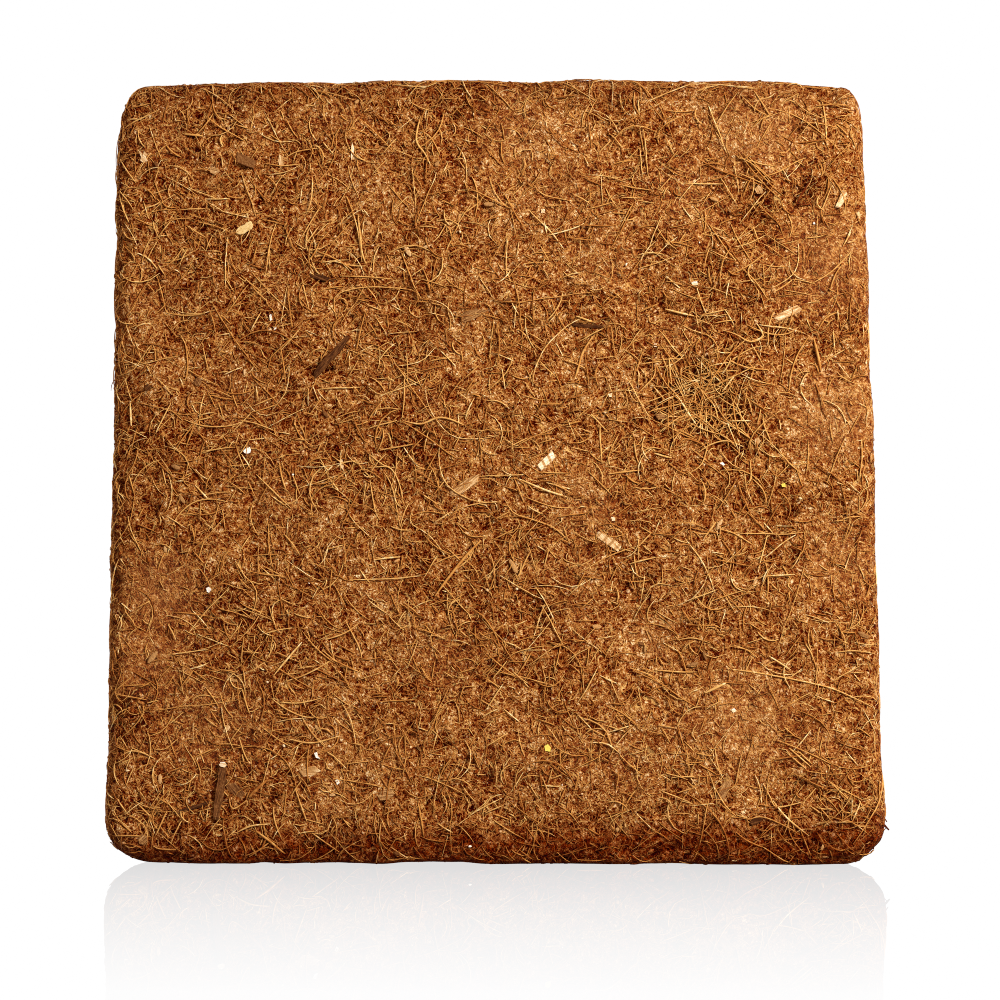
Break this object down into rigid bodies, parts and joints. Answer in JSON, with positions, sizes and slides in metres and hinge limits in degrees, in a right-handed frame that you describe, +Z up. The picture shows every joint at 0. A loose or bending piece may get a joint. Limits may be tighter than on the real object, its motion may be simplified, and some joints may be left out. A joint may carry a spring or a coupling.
{
  "type": "coconut coir bale",
  "caption": "Square slab of pressed coconut coir pith and fibre with rounded edges, standing on its narrow edge.",
  "frame": {"origin": "middle of the slab's footprint, on the surface that it stands on", "axes": "+Z up, the front broad face looks along -Y, +X to the right seen from the front"},
  "size_m": [0.3052, 0.1266, 0.3096],
  "materials": {
    "coir": "rough, fibrous and crumbly"
  },
  "bodies": {
    "root": {"coir_bale": "coir"}
  },
  "joints": []
}
